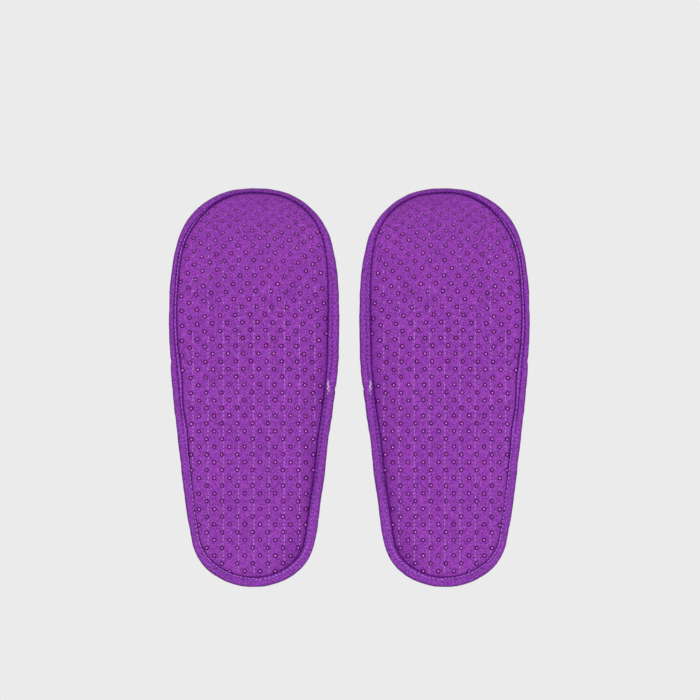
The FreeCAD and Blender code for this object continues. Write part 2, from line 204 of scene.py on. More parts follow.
def outline_segments():
    """The +X half, toe to heel: (first and last centre, radius, first and last normal angle)."""
    tip = np.array([0.0, TOE_Y + TOE_TIP_RADIUS])
    front = np.array([WIDTH / 2 - FRONT_SIDE_RADIUS, WIDEST_Y])
    rear = np.array([WIDTH / 2 - REAR_SIDE_RADIUS, WIDEST_Y])
    heel = np.array([0.0, HEEL_Y - HEEL_TIP_RADIUS])
    # The toe corner's centre is where two circles about the tip's and the side's centres cross.
    reach_tip = TOE_TIP_RADIUS - TOE_CORNER_RADIUS
    reach_side = FRONT_SIDE_RADIUS - TOE_CORNER_RADIUS
    gap = np.linalg.norm(front - tip)
    along = (reach_tip**2 - reach_side**2 + gap**2) / (2 * gap)
    rise = math.sqrt(reach_tip**2 - along**2)
    across = unit(front - tip)
    side = np.array([-across[1], across[0]])
    crossings = [tip + across * along + side * rise, tip + across * along - side * rise]
    corner = min([p for p in crossings if p[0] > 0], key=lambda p: p[1])
    normal = np.array([math.cos(TAPER_ANGLE), math.sin(TAPER_ANGLE)])
    run = np.array([-math.sin(TAPER_ANGLE), math.cos(TAPER_ANGLE)])
    taper_start = rear + normal * REAR_SIDE_RADIUS
    offset = taper_start - normal * HEEL_CORNER_RADIUS - heel
    reach = HEEL_TIP_RADIUS - HEEL_CORNER_RADIUS
    half = offset @ run
    travel = -half + math.sqrt(half**2 - offset @ offset + reach**2)
    heel_corner = heel + offset + run * travel
    taper_end = heel_corner + normal * HEEL_CORNER_RADIUS

    def angle(start, end):
        return math.atan2(end[1] - start[1], end[0] - start[0])

    first = angle(tip, corner)
    second = angle(front, corner)
    last = angle(heel, heel_corner)
    return [
        (tip, tip, TOE_TIP_RADIUS, -math.pi / 2, first),
        (corner, corner, TOE_CORNER_RADIUS, first, second),
        (front, front, FRONT_SIDE_RADIUS, second, 0.0),
        (rear, rear, REAR_SIDE_RADIUS, 0.0, TAPER_ANGLE),
        (taper_start, taper_end, 0.0, TAPER_ANGLE, TAPER_ANGLE),
        (heel_corner, heel_corner, HEEL_CORNER_RADIUS, TAPER_ANGLE, last),
        (heel, heel, HEEL_TIP_RADIUS, last, math.pi / 2),
    ]


SEGMENTS = outline_segments()
SEGMENT_LENGTHS = [np.linalg.norm(b - a) + r * (t - s) for a, b, r, s, t in SEGMENTS]
HALF_PERIMETER = float(sum(SEGMENT_LENGTHS))


def half_outline(travel):
    """Points and outward normals on the +X half, at distances along it from the toe tip."""
    points = np.zeros((len(travel), 2))
    normals = np.zeros((len(travel), 2))
    slack = 1e-6  # keeps a sample from falling between two segments
    begin = 0.0
    for (first, last, radius, start, end), length in zip(SEGMENTS, SEGMENT_LENGTHS):
        inside = (travel >= begin - slack) & (travel <= begin + length + slack)
        share = ((travel[inside] - begin) / length)[:, None]
        angle = start + (end - start) * share
        normal = np.hstack([np.cos(angle), np.sin(angle)])
        points[inside] = first + (last - first) * share + normal * radius
        normals[inside] = normal
        begin += length
    return points, normals


def along_edge(distance, inner, inner_pairs, outer_pairs):
    """A value tabled along each side, eased over a 130th of the ring so that it has no kinks."""
    values = np.where(inner, by_distance(distance, inner_pairs), by_distance(distance, outer_pairs))
    spread = max(3, len(values) // 130)
    kernel = np.hanning(spread + 2)[1:-1]
    padded = np.concatenate([values[-spread:], values, values[:spread]])
    return np.convolve(padded, kernel / kernel.sum(), "same")[spread:-spread]


class Ring:
    """Samples round the whole outline, from the toe tip along the inner side and back."""

    def __init__(self, samples):
        self.travel = np.arange(samples) * 2 * HALF_PERIMETER / samples
        folded = np.minimum(self.travel, 2 * HALF_PERIMETER - self.travel)
        self.points, self.normals = half_outline(folded)
        self.inner = self.travel < HALF_PERIMETER
        flip = np.where(self.inner, 1.0, -1.0)
        self.points[:, 0] *= flip
        self.normals[:, 0] *= flip
        self.distance = self.points[:, 1] - TOE_Y
        self.lip = along_edge(self.distance, self.inner, LIP_INNER, LIP_OUTER)
        self.seam = along_edge(self.distance, self.inner, SEAM_INNER, SEAM_OUTER)
        self.seam_depth = along_edge(self.distance, self.inner, SEAM_DEPTH_INNER, SEAM_DEPTH_OUTER)
        self.edge = along_edge(self.distance, self.inner, EDGE_INNER, EDGE_OUTER)
        self.stitch_phase = np.cos(2 * math.pi * self.travel / STITCH_PITCH)


def edge_reach(inset):
    """How much of the edge's pinches is felt at an inset."""
    return np.clip(1 - inset / EDGE_FADE, 0, 1)


def half_width(y, inset):
    """Half the width at y of the outline moved inwards by inset."""
    samples = 1500
    points, normals = half_outline(np.linspace(0, HALF_PERIMETER, samples))
    moved = points - normals * inset
    return np.interp(y, moved[:, 1], moved[:, 0], left=0.0, right=0.0)


def lift(y, height):
    """World height of a layer's point, flat at the heel and curled up at the toe."""
    back = np.maximum(CURL_Y - y, 0.0)
    curled = CURL_RADIUS - np.sqrt(np.maximum((CURL_RADIUS - height) ** 2 - back**2, 0.0))
    return np.where(y < CURL_Y, curled, height)


# ---------------------------------------------------------------- mesh building

def wrap_faces(rows, columns, closed_columns=False):
    """Quads of a grid whose rows run round a ring. closed_columns also joins last column to first."""
    row = np.arange(rows)
    column = np.arange(columns if closed_columns else columns - 1)
    a, k = np.meshgrid(row, column, indexing="ij")
    b = (a + 1) % rows
    after = (k + 1) % columns
    quads = np.stack([a * columns + k, b * columns + k, b * columns + after, a * columns + after], -1)
    return quads.reshape(-1, 4)


def open_faces(rows, columns):
    """Quads of a plain grid."""
    a, k = np.meshgrid(np.arange(rows - 1), np.arange(columns - 1), indexing="ij")
    first = a * columns + k
    return np.stack([first, first + columns, first + columns + 1, first + 1], -1).reshape(-1, 4)


def shell(outer, inner):
    """Closed shell between two grids of points of the same size."""
    rows, columns = outer.shape[:2]
    count = rows * columns
    grid = open_faces(rows, columns)
    border = np.concatenate([
        np.arange(columns),
        np.arange(1, rows) * columns + columns - 1,
        (rows - 1) * columns + np.arange(columns - 2, -1, -1),
        np.arange(rows - 2, 0, -1) * columns,
    ])
    after = np.roll(border, -1)
    rim = np.stack([border, border + count, after + count, after], -1)
    faces = np.concatenate([grid[:, ::-1], grid + count, rim[:, ::-1]])
    points = np.concatenate([outer.reshape(-1, 3), inner.reshape(-1, 3)])
    return points, faces.tolist()


def repeat(template, template_faces, frames):
    """Copies of a small template; each frame is (origin, x axis, y axis, z axis) with sized axes."""
    points = []
    faces = []
    for index, (origin, x_axis, y_axis, z_axis) in enumerate(frames):
        points.append(origin + template @ np.array([x_axis, y_axis, z_axis]))
        offset = index * len(template)
        faces.extend([[corner + offset for corner in face] for face in template_faces])
    return np.concatenate(points), faces


def spun(profile, segments):
    """A closed solid turned about Z from (radius, height) pairs that start and end on the axis."""
    points = [(0.0, 0.0, profile[0][1])]
    for radius, height in profile[1:-1]:
        for step in range(segments):
            angle = 2 * math.pi * step / segments
            points.append((radius * math.cos(angle), radius * math.sin(angle), height))
    points.append((0.0, 0.0, profile[-1][1]))
    faces = []
    rings = len(profile) - 2
    for step in range(segments):
        after = (step + 1) % segments
        faces.append([0, 1 + after, 1 + step])
        for ring in range(rings - 1):
            low = 1 + ring * segments
            high = low + segments
            faces.append([low + step, low + after, high + after, high + step])
        last = 1 + (rings - 1) * segments
        faces.append([last + step, last + after, len(points) - 1])
    return np.array(points), faces


def capped_tube(rows, columns):
    """Faces of a tube whose rows are closed loops of points, with a cap on each end."""
    faces = []
    for low in range(0, (rows - 1) * columns, columns):
        high = low + columns
        for column in range(columns):
            after = (column + 1) % columns
            faces.append([low + column, low + after, high + after, high + column])
    faces.append(list(range(columns))[::-1])
    faces.append([(rows - 1) * columns + column for column in range(columns)])
    return faces


def tube(path, radius, segments=8):
    """A thin closed tube along a path of points."""
    path = np.array(path)
    points = []
    for index, spot in enumerate(path):
        along = unit(path[min(index + 1, len(path) - 1)] - path[max(index - 1, 0)])
        side = unit(np.cross(along, [0.0, 0.0, 1.0]))
        up = np.cross(side, along)
        for step in range(segments):
            angle = 2 * math.pi * step / segments
            points.append(spot + radius * (side * math.cos(angle) + up * math.sin(angle)))
    return np.array(points), capped_tube(len(path), segments)


def smooth_path(points, steps):
    """A rounded path (a Catmull-Rom curve) through given points."""
    points = np.array(points, float)
    made = []
    padded = np.concatenate([[2 * points[0] - points[1]], points, [2 * points[-1] - points[-2]]])
    for index in range(len(points) - 1):
        p0, p1, p2, p3 = padded[index:index + 4]
        for step in range(steps):
            t = step / steps
            made.append(0.5 * (2 * p1 + (p2 - p0) * t + (2 * p0 - 5 * p1 + 4 * p2 - p3) * t**2
                               + (3 * p1 - p0 - 3 * p2 + p3) * t**3))
    made.append(points[-1])
    return made


def piece(side, name, points, faces, material, shade=None, merge=0.0):
    """Places one slipper's piece. side is right or left, and shade sets its tone point by point:
    painted shade, painted highlights on the dots, random tone on the quilting.
    """
    placed = np.array(points, float)
    if side == "left":
        placed[:, 0] = -placed[:, 0] + SPACING / 2
        faces = [list(face)[::-1] for face in faces]
    else:
        placed[:, 0] -= SPACING / 2
    mesh = bpy.data.meshes.new(side + "_" + name)
    mesh.from_pydata((placed * MM).tolist(), [], [list(face) for face in faces])
    local = mesh.attributes.new("local", "FLOAT_VECTOR", "POINT")
    local.data.foreach_set("vector", np.ascontiguousarray(points, np.float32).ravel())
    tone = mesh.attributes.new("shade", "FLOAT", "POINT")
    values = np.ones(len(placed)) if shade is None else np.ravel(shade)
    tone.data.foreach_set("value", values.astype(np.float32))
    if merge:
        work = bmesh.new()
        work.from_mesh(mesh)
        bmesh.ops.remove_doubles(work, verts=work.verts, dist=merge * MM)
        work.to_mesh(mesh)
        work.free()
    mesh.polygons.foreach_set("use_smooth", [True] * len(mesh.polygons))
    mesh.materials.append(material)
    mesh.update()
    made = bpy.data.objects.new(side + "_" + name, mesh)
    bpy.context.scene.collection.objects.link(made)
    return made


# ---------------------------------------------------------------- materials

class Look:
    """A Principled material being wired up. Its patterns lie in the piece's own millimetres."""

    def __init__(self, name):
        self.material = bpy.data.materials.new(name)
        self.material.use_nodes = True
        self.tree = self.material.node_tree
        self.shader = self.tree.nodes["Principled BSDF"]
        self.local = self.add("ShaderNodeAttribute", attribute_name="local").outputs["Vector"]
        self.shade = self.add("ShaderNodeAttribute", attribute_name="shade").outputs["Fac"]

    def add(self, kind, inputs=(), **settings):
        made = self.tree.nodes.new(kind)
        for key, value in settings.items():
            setattr(made, key, value)
        for key, value in inputs:
            self.feed(made.inputs[key], value)
        return made

    def feed(self, socket, value):
        if isinstance(value, bpy.types.NodeSocket):
            self.tree.links.new(value, socket)
        else:
            socket.default_value = value

    def set(self, **values):
        for key, value in values.items():
            self.feed(self.shader.inputs[key.replace("_", " ")], value)

    def noise(self, scale, detail=2.0, stretch=(1, 1, 1), roughness=0.55):
        place = self.add("ShaderNodeMapping", [("Vector", self.local), ("Scale", stretch)])
        made = self.add("ShaderNodeTexNoise", [("Vector", place.outputs[0]), ("Scale", scale),
                                               ("Detail", detail), ("Roughness", roughness)])
        return made.outputs["Fac"]

    def cells(self, scale):
        made = self.add("ShaderNodeTexVoronoi", [("Vector", self.local), ("Scale", scale)])
        return made.outputs["Distance"]

    def ramp(self, value, low, high):
        """Stretches the part of value between low and high to 0 and 1."""
        inputs = [("Value", value), ("From Min", low), ("From Max", high)]
        return self.add("ShaderNodeMapRange", inputs).outputs[0]

    def between(self, value, low, high):
        """Squeezes value's 0 to 1 into low to high."""
        inputs = [("Value", value), ("To Min", low), ("To Max", high)]
        return self.add("ShaderNodeMapRange", inputs).outputs[0]

    def math(self, operation, first, second):
        return self.add("ShaderNodeMath", [(0, first), (1, second)], operation=operation).outputs[0]

    def weighted(self, parts):
        """Sum of (value, weight) pairs."""
        total = None
        for value, weight in parts:
            part = self.math("MULTIPLY", value, weight)
            total = part if total is None else self.math("ADD", total, part)
        return total

    def mix(self, share, first, second, blend="MIX"):
        made = self.add("ShaderNodeMix", [(0, share), (6, first), (7, second)],
                        data_type="RGBA", blend_type=blend)
        return made.outputs[2]

    def bump(self, heights, distance):
        """Bump from a list of (height, weight) pairs; distance is in millimetres."""
        made = self.add("ShaderNodeBump", [("Height", self.weighted(heights)),
                                           ("Distance", distance * MM), ("Strength", 1.0)])
        self.set(Normal=made.outputs["Normal"])


def rgba(red, green, blue):
    return (red, green, blue, 1.0)


def brushed_fabric(name, dark, light, heather=0.95, pile=0.35, sheen=0.03, lint=0.44,
                   shade_tint=rgba(0.24, 0.01, 0.34)):
    """Brushed polyester felt: heathered colour, short fibres in all directions and a soft sheen."""
    look = Look(name)
    speckle = look.ramp(look.noise(heather, 3.0, roughness=0.7), 0.40, 0.60)
    fine = look.ramp(look.noise(heather * 2.7, 2.0), 0.3, 0.7)
    blotch = look.ramp(look.noise(0.055, 2.0), 0.25, 0.75)
    streak = look.noise(0.9, 3.0, stretch=(2.6, 0.5, 1.0))
    blend = look.weighted([(speckle, 0.48), (fine, 0.34), (blotch, 0.12), (streak, 0.08)])
    colour = look.mix(blend, dark, light)
    fibres = look.ramp(look.noise(heather * 1.9, 2.0, stretch=(1.5, 0.7, 1.0)), 0.52, 0.74)
    colour = look.mix(look.math("MULTIPLY", fibres, lint), colour, rgba(0.76, 0.34, 0.98))
    # Painted shade: where the shade attribute is below 1 the colour is multiplied towards shade_tint.
    shaded = look.mix(1.0, colour, shade_tint, blend="MULTIPLY")
    look.set(Base_Color=look.mix(look.shade, shaded, colour), Roughness=look.between(fine, 0.78, 0.96),
             Sheen_Weight=sheen, Sheen_Roughness=0.45, Sheen_Tint=rgba(0.80, 0.62, 0.95),
             Specular_IOR_Level=0.06)
    tufts = look.noise(2.6, 3.0, stretch=(1.0, 0.45, 1.0))
    look.bump([(tufts, 1.0), (speckle, 0.5), (streak, 0.5)], pile)
    return look.material


def pile_fabric(name, dark, light, loop, height):
    """Terry or fleece: rounded loops painted lighter on top, as painted highlights, and darker in the
    gaps between, as painted shade.
    """
    look = Look(name)
    loops = look.ramp(look.cells(loop), 0.65, 0.05)
    uneven = look.noise(loop * 0.35, 3.0)
    fibre = look.noise(loop * 4.0, 2.0)
    patches = look.ramp(look.noise(0.05, 2.0), 0.3, 0.7)
    # The loops' share of the colour is painted light and shade; the uneven and patchy parts are random
    # tone.
    blend = look.weighted([(loops, 0.55), (uneven, 0.35), (patches, 0.2)])
    look.set(Base_Color=look.mix(blend, dark, light), Roughness=look.between(fibre, 0.85, 1.0),
             Sheen_Weight=0.3, Sheen_Roughness=0.5, Sheen_Tint=rgba(0.85, 0.70, 0.97),
             Specular_IOR_Level=0.2)
    look.bump([(loops, 1.0), (uneven, 0.3), (fibre, 0.25)], height)
    return look.material


def thread_material(name, dark, light):
    """Spun polyester thread: fine twist and a slight shine; the shade attribute darkens it, as painted
    shade where it lies deep in a seam and as a random tone on the quilting.
    """
    look = Look(name)
    twist = look.add("ShaderNodeTexWave", [("Vector", look.local), ("Scale", 2.4), ("Distortion", 2.0),
                                           ("Detail", 2.0)], bands_direction="DIAGONAL").outputs["Fac"]
    wear_and_highlight = look.noise(0.8, 2.0)
    colour = look.mix(look.math("MULTIPLY", wear_and_highlight, twist), light, dark)
    # Painted shade for thread lying deep in a seam; on the quilting the same mix gives a random tone.
    deep = look.mix(1.0, colour, rgba(0.42, 0.22, 0.46), blend="MULTIPLY")
    look.set(Base_Color=look.mix(look.shade, deep, colour), Roughness=look.ramp(wear_and_highlight, -0.6, 1.4),
             Sheen_Weight=0.08, Sheen_Roughness=0.4, Sheen_Tint=rgba(0.85, 0.60, 0.97),
             Specular_IOR_Level=0.08)
    look.bump([(twist, 1.0)], 0.12)
    return look.material


def rubber_material(name, deep, bright, dusty):
    """Clear-skinned plastic drops with a painted highlight on their crowns, a faint ripple and a little
    dust.
    """
    look = Look(name)
    ripple = look.noise(1.3, 2.0)
    dust = look.ramp(look.noise(4.0, 3.0), 0.35, 0.8)
    # Painted highlight: the shade attribute mixes the deep colour towards the bright one on each crown.
    colour = look.mix(look.shade, deep, bright)
    colour = look.mix(look.math("MULTIPLY", dust, 0.10), colour, dusty)
    look.set(Base_Color=colour, Roughness=look.between(ripple, 0.16, 0.34), IOR=1.45,
             Specular_IOR_Level=0.08)
    look.bump([(ripple, 1.0), (dust, 0.2)], 0.06)
    return look.material


def foam_material(name, dark, light, pore, height):
    """Foam or wadding seen at its cut edges."""
    look = Look(name)
    pores = look.ramp(look.cells(pore), 0.0, 0.6)
    cloud = look.noise(pore * 0.2, 3.0)
    look.set(Base_Color=look.mix(look.math("MULTIPLY", pores, cloud), dark, light),
             Roughness=look.between(cloud, 0.85, 1.0))
    look.bump([(pores, 1.0), (cloud, 0.6)], height)
    return look.material


sole_felt = brushed_fabric("sole_felt", rgba(0.056, 0.0, 0.112), rgba(0.470, 0.070, 0.665))
binding_cloth = brushed_fabric("binding_cloth", rgba(0.030, 0.0, 0.085), rgba(0.470, 0.078, 0.700),
                               heather=0.75, pile=0.40, lint=0.32, shade_tint=rgba(0.27, 0.0, 0.42))
upper_velour = brushed_fabric("upper_velour", rgba(0.11, 0.008, 0.18), rgba(0.430, 0.090, 0.61),
                              heather=0.8, pile=0.4, sheen=0.2)
lining_knit = pile_fabric("lining_knit", rgba(0.17, 0.030, 0.26), rgba(0.32, 0.080, 0.45), 1.3, 0.25)
insole_terry = pile_fabric("insole_terry", rgba(0.15, 0.022, 0.24), rgba(0.40, 0.110, 0.55), 0.8, 0.8)
seam_thread = thread_material("lilac_thread", rgba(0.46, 0.13, 0.68), rgba(0.72, 0.29, 0.95))
quilt_thread = thread_material("quilt_thread", rgba(0.60, 0.22, 0.96), rgba(0.84, 0.42, 1.0))
loose_thread = thread_material("pale_thread", rgba(0.66, 0.48, 0.90), rgba(0.88, 0.74, 1.0))
# Grip dots: deep colour, the painted highlight's colour for their crowns, and dust.
grip_plastic = rubber_material("grip_plastic", rgba(0.080, 0.0, 0.115), rgba(0.88, 0.33, 1.0),
                               rgba(0.40, 0.10, 0.50))
sole_foam = foam_material("sole_foam", rgba(0.60, 0.58, 0.52), rgba(0.84, 0.82, 0.76), 1.2, 0.3)
white_wadding = foam_material("white_wadding", rgba(0.72, 0.72, 0.72), rgba(0.90, 0.90, 0.89), 0.5, 0.5)


# ---------------------------------------------------------------- sole

SHOULDER = 14.0  # inset up to which a layer's rings follow the outline; inside it they run to a spine
SPINE_LOW = TOE_Y + 42.0
SPINE_HIGH = HEEL_Y - 44.0


def plate_plan(ring, insets, inner_steps):
    """Plan positions (x, y) and inset of a plate's rings, from its edge to its spine."""
    insets = np.asarray(insets)
    moved = insets[None, :] + ring.edge[:, None] * edge_reach(insets)[None, :]
    rings = ring.points[:, None, :] - ring.normals[:, None, :] * moved[..., None]
    shoulder = rings[:, -1, :]
    spine = np.stack([np.zeros(len(shoulder)), np.clip(shoulder[:, 1], SPINE_LOW, SPINE_HIGH)], -1)
    shares = (np.arange(inner_steps) + 1) / inner_steps
    middle = shoulder[:, None, :] + (spine - shoulder)[:, None, :] * shares[None, :, None]
    plan = np.concatenate([rings, middle], axis=1)
    reach = np.linalg.norm(spine - shoulder, axis=1)
    outer_depth = np.broadcast_to(insets, rings.shape[:2])
    inner_depth = insets[-1] + reach[:, None] * shares[None, :]
    return plan[..., 0], plan[..., 1], np.concatenate([outer_depth, inner_depth], axis=1)


def plate(ring, insets, inner_steps, bottom, top):
    """A closed layer of the sole, and its rings' plan positions. bottom and top give heights."""
    x, y, depth = plate_plan(ring, insets, inner_steps)
    low = bottom(x, y, depth)
    high = top(x, y, depth)
    all_x = np.concatenate([x[:, ::-1], x], axis=1)
    all_y = np.concatenate([y[:, ::-1], y], axis=1)
    all_h = np.concatenate([low[:, ::-1], high], axis=1)
    points = np.stack([all_x, all_y, lift(all_y, all_h)], -1)
    return points.reshape(-1, 3), wrap_faces(*points.shape[:2]).tolist(), (x, y, depth)


def dot_rows():
    """Each row of dots: its distance along the outsole from the curl, and if it is on the lines."""
    first = CURL_Y - FIRST_LINE_ROW_Y
    rows = []
    for index in range(-25, 28):  # a few more than fit on the sole
        distance = first + index * DOT_ROW_PITCH
        if HEEL_Y > plan_y(distance) > TOE_Y:
            rows.append((distance, index % 2 == 0))
    return rows


def plan_y(distance):
    """y of the point that lies this far along the outsole from where its curl starts."""
    if distance <= 0:
        return CURL_Y - distance
    radius = CURL_RADIUS - OUTSOLE_BOTTOM
    return CURL_Y - radius * math.sin(distance / radius)


def plan_tree(points):
    tree = KDTree(len(points))
    for index, (x, y) in enumerate(points):
        tree.insert((x, y, 0.0), index)
    tree.balance()
    return tree


EDGE_RING = Ring(1400)
EDGE_TREE = plan_tree(EDGE_RING.points)


def from_edge(x, y):
    """Inset of a plan point from the outline, and the inset of the binding's lip beside it."""
    _, index, away = EDGE_TREE.find((x, y, 0.0))
    return away, EDGE_RING.lip[index]


def dot_places():
    places = []
    for distance, on_line in dot_rows():
        from_toe = by_distance(plan_y(distance) - TOE_Y, DOT_CROWDING)
        pitch = DOT_PITCH_X * by_distance(from_toe, DOT_NARROWING)
        drift = by_distance(from_toe, DOT_DRIFT)
        bow = by_distance(from_toe, DOT_BOW)
        start = 0.0 if on_line else pitch / 2
        for column in range(-6, 8):
            x = float(drift + start + column * pitch)
            y = float(TOE_Y + from_toe + bow * (x / DOT_BOW_REACH) ** 2)
            if abs(x) > half_width(y, DOT_CLEARANCE):
                continue
            inset, lip = from_edge(x, y)
            if inset > lip + DOT_MARGIN:
                places.append((x, y))
    return places


DOTS = dot_places()
DOT_TREE = plan_tree(DOTS)


def dot_distance(x, y):
    """Distance from plan points to the nearest grip dot's centre."""
    near = [DOT_TREE.find((a, b, 0.0))[2] for a, b in zip(x.ravel(), y.ravel())]
    return np.array(near).reshape(x.shape)


def quilt_sink(x, y):
    """How far the quilting lines pull the outsole in; they hold harder towards the heel."""
    line = np.round(x / DOT_PITCH_X)
    strength = by_distance(y - TOE_Y, QUILT_PULL)
    pull = np.cos(2 * math.pi * (y - FIRST_LINE_ROW_Y) / QUILT_PITCH)
    sink = strength * (0.36 + 0.05 * pull) * bell(x - line * DOT_PITCH_X, 1.7)
    return np.where(np.abs(line) <= QUILT_LINES_EACH_SIDE, sink, 0.0)


def sole_height(x, y, inset, lip, inner):
    """Height of the outsole's lower face: a padded panel that tucks up under the binding's lip."""
    past = np.maximum(inset - lip, 0.0)
    tuck = np.where(inner, 0.75 * np.exp(-past / 3.2), 0.6 * np.exp(-past / 1.4))
    return OUTSOLE_BOTTOM + tuck + quilt_sink(x, y) * (1 - np.exp(-past / 3.0))


def outsole():
    """The brushed panel: uneven, dimpled at its dots, with painted shade round them and beside the
    binding.
    """
    ring = Ring(940)
    insets = np.concatenate([[1.7, 2.3], np.arange(3.0, SHOULDER + 0.01, 0.5)])
    lip = ring.lip[:, None]
    inner = (ring.normals[:, 0] > 0)[:, None]

    def bottom(x, y, inset):
        dimple = 0.14 * bell(dot_distance(x, y), 1.9)
        open_share = np.clip((inset - lip) / 1.5, 0, 1)
        return sole_height(x, y, inset, lip, inner) + open_share * (lumps(x, y, OUTSOLE_LUMPS) + dimple)

    def top(x, y, inset):
        return np.full_like(x, OUTSOLE_TOP - 0.05)

    points, faces, (x, y, inset) = plate(ring, insets, 42, bottom, top)
    past = inset - lip
    # Painted shade, kept in the shade attribute: in the crease under the binding's lip, over the inner
    # side's edge, along the rim beside the binding and in a ring round each dot, fainter near the toe.
    printed = np.interp(y - TOE_Y, PRINT_FADE, (0.15, 1.0))
    dot_ring_shade = 0.26 * printed * bell(dot_distance(x, y) - 1.6, 0.5)
    crease = 0.95 * bell(past, 0.55)
    beside = ease(ring.normals[:, 0], 0.1, 0.8) * ease(ring.distance, 40.0, 110.0)
    side = 0.40 * beside[:, None] * np.exp(-np.maximum(past, 0) / 6.0)
    rim = 0.08 * np.exp(-np.maximum(past, 0) / 2.5)
    tone = 1 - np.clip(crease + side + rim + dot_ring_shade, 0, 1)
    return points, faces, np.concatenate([tone[:, ::-1], tone], axis=1)


def layer(low, high, edge, rough):
    """A hidden layer between two heights, its edge rounded and its top uneven by rough."""
    insets = np.concatenate([[edge, edge + 0.25, edge + 0.8], np.linspace(edge + 2.2, SHOULDER, 8)])

    def rounded(inset):
        short = np.clip((inset - edge) / 0.8, 0, 1)
        return 0.35 * round_over(1 - short)

    def bottom(x, y, inset):
        return low + 0.03 + rounded(inset)

    def top(x, y, inset):
        return high - 0.03 - rounded(inset) + rough * fuzz(x, y, 6.0, 5.5) * ease(inset, 6.0, 9.0)

    points, faces, _ = plate(Ring(420), insets, 22, bottom, top)
    return points, faces


def insole_cover():
    """Terry cover: flat under the binding's flange, then crowned, and pressed in at the heel."""
    insets = np.concatenate([[1.9, 2.4, 3.0, 4.0], np.arange(5.0, SHOULDER + 0.01, 0.9)])

    def bottom(x, y, inset):
        return np.full_like(x, PADDING_TOP + 0.05)

    def top(x, y, inset):
        open_share = ease(inset, 4.5, 9.0)
        footprint = 0.35 * np.exp(-(((x - 2) / 20) ** 2 + ((y - 95) / 24) ** 2))
        return INSOLE_TOP - 0.15 + open_share * (0.45 + lumps(x, y, INSOLE_NAP) - footprint)

    points, faces, _ = plate(Ring(700), insets, 40, bottom, top)
    return points, faces


# ---------------------------------------------------------------- edge binding

BINDING_RING = Ring(1150)


def in_upper(ring):
    """1 where the upper stands on the sole's edge and 0 behind it."""
    end = np.where(ring.inner, UPPER_END_INNER, UPPER_END_OUTER)
    return 1 - ease(ring.distance, end - 4.0, end + 6.0)


def upper_flange(ring):
    """Inset of the upper flange's edge: close against the upper, then wider behind it."""
    behind = 5.4 + 0.8 * ring.normals[:, 0] + 1.8 * ring.normals[:, 1]
    share = in_upper(ring)
    return 4.35 * share + behind * (1 - share)


def flange_height(inset, ring):
    """Height of the lower flange's face: a sewn groove between the outer roll and the folded lip."""
    seam = ring.seam[:, None]
    phase = ring.stitch_phase[:, None]
    groove = ring.seam_depth[:, None] * (SEAM_SINK + 0.12 * phase) * bell(inset - seam, SEAM_WIDTH)
    pucker = 0.07 * phase * bell(inset - seam, 1.3)
    turn = 0.85 * round_over(np.clip((inset - (ring.lip[:, None] - 0.8)) / 0.8, 0, 1))
    base = 0.10 * ease(inset, ROLL_WIDTH, ROLL_WIDTH + 0.8)
    return base + groove + pucker + turn


def binding_section(ring):
    """The tape's section as inset and height: lower flange, outer roll, upper flange, back."""
    lip = ring.lip[:, None]
    low_inset = lip + (ROLL_WIDTH - lip) * (np.linspace(0, 1, 22) ** 1.15)[None, :]
    angles = np.linspace(-math.pi / 2, math.pi / 2, 17)[1:-1]
    power = 2 / ROLL_EXPONENT
    roll_inset = ROLL_WIDTH * (1 - np.abs(np.cos(angles)) ** power)
    half = BINDING_TOP / 2
    roll_height = half + half * np.sign(np.sin(angles)) * np.abs(np.sin(angles)) ** power
    top_edge = upper_flange(ring)[:, None]
    top_shares = np.linspace(0, 1, 11)[None, :]
    top_inset = ROLL_WIDTH + (top_edge - ROLL_WIDTH) * top_shares
    sink = (0.35 + 0.10 * ring.stitch_phase[:, None]) * bell(top_inset - UPPER_SEAM_INSET, 0.45)
    top_height = BINDING_TOP - 0.05 - sink - 0.75 * round_over(np.clip(top_shares * 6 - 5, 0, 1))
    back = [
        (top_edge - 0.15, 10.25), (top_edge * 0.6 + 0.4, 10.3), (1.5, 10.2), (BINDING_WALL + 0.05, 9.6),
        (BINDING_WALL, 7.5), (BINDING_WALL, 5.5), (BINDING_WALL, 3.5), (BINDING_WALL + 0.05, 1.6),
        (1.4, 1.0), (lip * 0.6 + 0.4, 0.92), (lip - 0.2, 0.98),
    ]
    ones = np.ones((len(ring.travel), 1))
    inset = [low_inset, ones * roll_inset, top_inset] + [ones * across for across, _ in back]
    height = [flange_height(low_inset, ring), ones * roll_height, ones * top_height]
    height += [ones * up for _, up in back]
    return np.concatenate(inset, axis=1), np.concatenate(height, axis=1)


def binding_tone(ring, inset, height):
    """How light the tape is: painted shade in the crease at its lip, in dashes along its sewn seam and
    on its outer roll's edge, on the lower half only.
    """
    toe_share = 1 - ease(ring.distance, 15.0, 75.0)
    crease_width = np.where(ring.inner, 0.9, 0.5) * (1 - toe_share) + 0.62 * toe_share
    weight = 0.85 + 0.05 * toe_share
    comb = np.where(ring.inner, 0.84 + 0.16 * ring.stitch_phase, 1.0)
    crease = comb[:, None] * bell(inset - ring.lip[:, None], crease_width[:, None])
    dashes = np.where(ring.inner, 0.72 + 0.28 * ring.stitch_phase, 1.0) * ring.seam_depth
    seam = dashes[:, None] * bell(inset - ring.seam[:, None], 0.55)
    outer = 0.10 * np.clip(1 - inset / 1.6, 0, 1)
    dark = np.clip(weight[:, None] * crease + 0.9 * seam + outer, 0, 1)
    return 1 - np.where(height < BINDING_TOP / 2, dark, 0.0)


